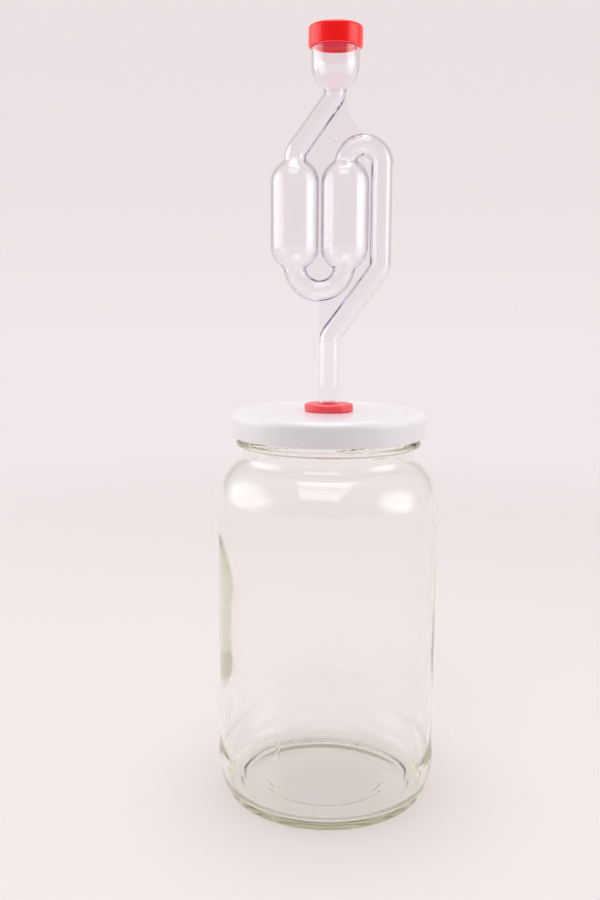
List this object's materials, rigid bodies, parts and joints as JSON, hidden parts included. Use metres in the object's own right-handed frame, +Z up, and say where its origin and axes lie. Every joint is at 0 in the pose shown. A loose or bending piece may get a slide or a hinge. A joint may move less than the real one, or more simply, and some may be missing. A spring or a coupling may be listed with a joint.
{
  "type": "fermentation jar with airlock",
  "caption": "Clear glass jar with a white twist-off lid, a red rubber grommet and a clear two-chamber airlock with a red cap, for fermenting food and drink.",
  "frame": {"origin": "centre of the jar's base, on the plane that the bearing ring stands on", "axes": "+Z up along the jar's axis; the airlock's tubes and chambers lie in the XZ plane, with the side tube towards +X"},
  "size_m": [0.0968, 0.0968, 0.3301],
  "materials": {
    "jar_glass": "clear pressed glass with a faint green edge",
    "lid_lacquer": "gloss white lacquer on tinplate",
    "sealing_compound": "smooth off-white sealing compound",
    "red_rubber": "smooth satin red rubber",
    "clear_plastic": "clear moulded plastic with a faint violet edge",
    "red_plastic": "gloss red plastic"
  },
  "bodies": {
    "jar": {"glass_jar": "jar_glass"},
    "lid_seal": {"lid_gasket": "sealing_compound"},
    "lid": {"lid_shell": "lid_lacquer"},
    "stem_grommet": {"grommet": "red_rubber"},
    "airlock": {"airlock_front_shell": "clear_plastic", "airlock_rear_shell": "clear_plastic"},
    "cap": {"airlock_cap": "red_plastic"}
  },
  "joints": [
    {"name": "lid_rise", "type": "slide", "parent": "jar", "child": "lid_seal", "axis": [0, 0, 1], "range_m": [0, 0.02]},
    {"name": "lid_twist", "type": "hinge", "parent": "lid_seal", "child": "lid", "pos_m": [0, 0, 0.172], "axis": [0, 0, 1], "range_deg": [0, 360]},
    {"name": "airlock_swivel", "type": "hinge", "parent": "lid", "child": "stem_grommet", "pos_m": [0, 0, 0.172], "axis": [0, 0, 1], "continuous": true},
    {"name": "airlock_pull", "type": "slide", "parent": "stem_grommet", "child": "airlock", "axis": [0, 0, 1], "range_m": [-0.015, 0.04]},
    {"name": "cap_pull", "type": "slide", "parent": "airlock", "child": "cap", "axis": [0, 0, 1], "range_m": [0, 0.025]}
  ],
  "couplings": [
    {"joint": "lid_rise", "follows": "lid_twist", "m_per_rad": 0.0031831}
  ]
}
